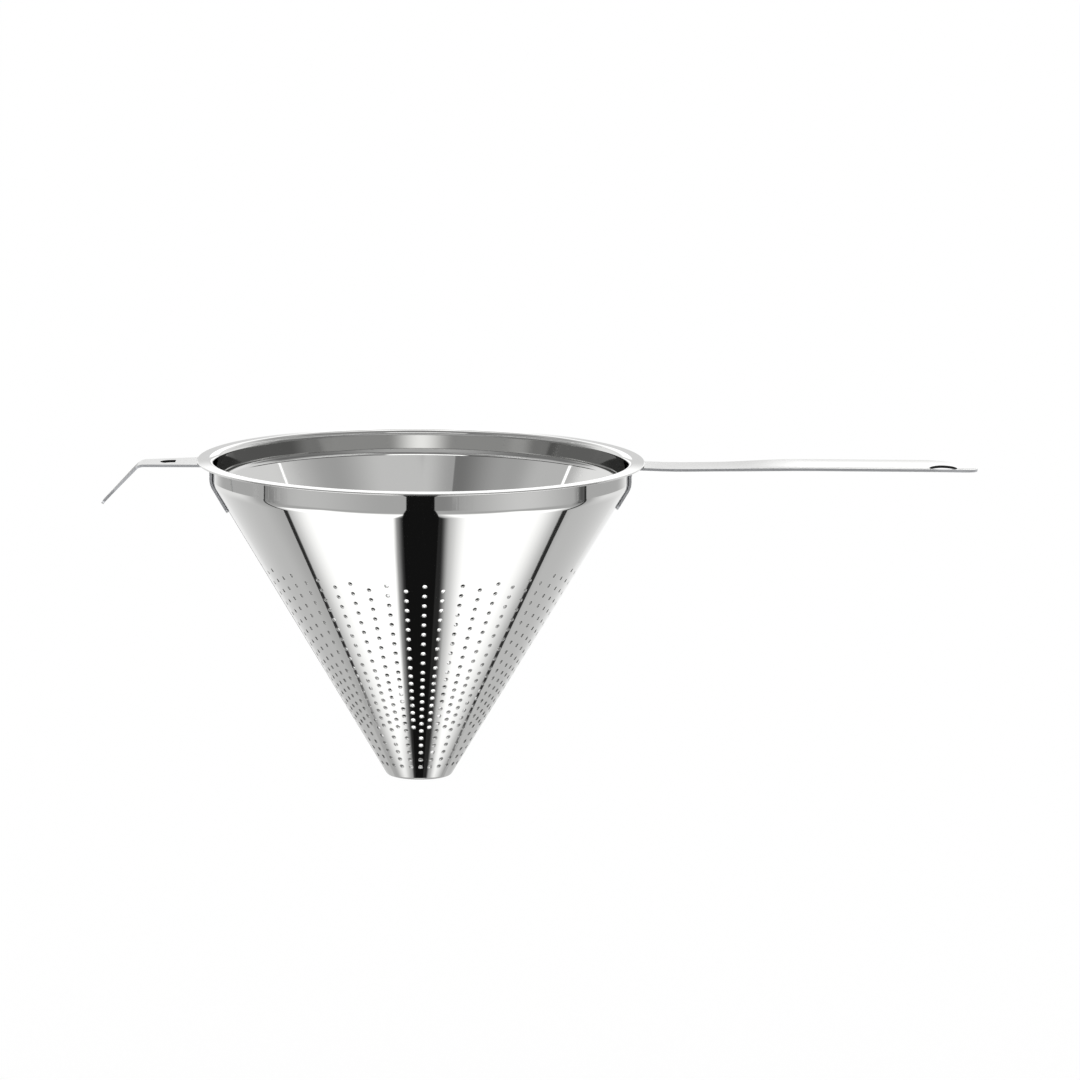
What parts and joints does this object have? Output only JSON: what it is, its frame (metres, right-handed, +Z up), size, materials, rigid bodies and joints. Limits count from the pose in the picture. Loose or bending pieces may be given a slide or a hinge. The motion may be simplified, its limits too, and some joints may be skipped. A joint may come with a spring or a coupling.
{
  "type": "funnel strainer",
  "caption": "Conical stainless steel funnel strainer with a perforated cone, a flat closed tip, a long flat handle with a hang hole and a hook opposite for resting on a pot.",
  "frame": {"origin": "centre of the outer face of the flat tip, the lowest point of the part", "axes": "+Z up the cone's axis to the open rim, +X along the handle away from the bowl, the hook lies on -X"},
  "size_m": [0.4129, 0.2108, 0.151],
  "materials": {
    "bowl_steel": "polished sheet",
    "handle_steel": "satin strip with deburred edges",
    "hook_steel": "satin strip with deburred edges"
  },
  "bodies": {
    "root": {"strainer_bowl": "bowl_steel", "handle": "handle_steel", "hook": "hook_steel"}
  },
  "joints": []
}
